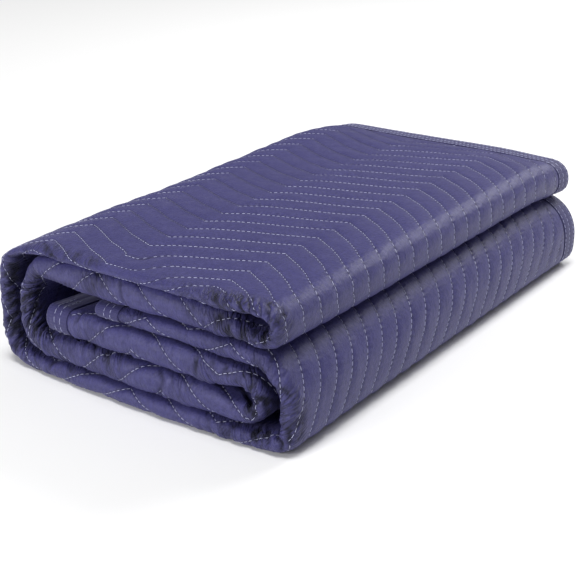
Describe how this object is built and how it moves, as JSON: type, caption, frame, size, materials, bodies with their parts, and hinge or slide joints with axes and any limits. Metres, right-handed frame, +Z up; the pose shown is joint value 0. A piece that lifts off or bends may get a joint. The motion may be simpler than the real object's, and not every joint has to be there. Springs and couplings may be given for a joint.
{
  "type": "moving blanket, folded",
  "caption": "Navy quilted moving blanket with zigzag stitching and bound edges, folded into a flat bundle that lies on a surface.",
  "frame": {"origin": "bottom centre of the bundle's box, on the surface that it lies on", "axes": "+Z up, +Y from the layers' folded near ends to the bound far ends (the longest side), +X from the wrapped side to the side with two round folds"},
  "size_m": [0.3164, 0.5244, 0.1206],
  "materials": {
    "quilted_cloth": "soft satin weave",
    "binding_tape": "matt woven tape"
  },
  "bodies": {
    "root": {"quilted_panel": "quilted_cloth", "binding_far_outer": "binding_tape", "binding_far_under": "binding_tape", "binding_side_core": "binding_tape", "binding_side_tucked": "binding_tape"}
  },
  "joints": []
}
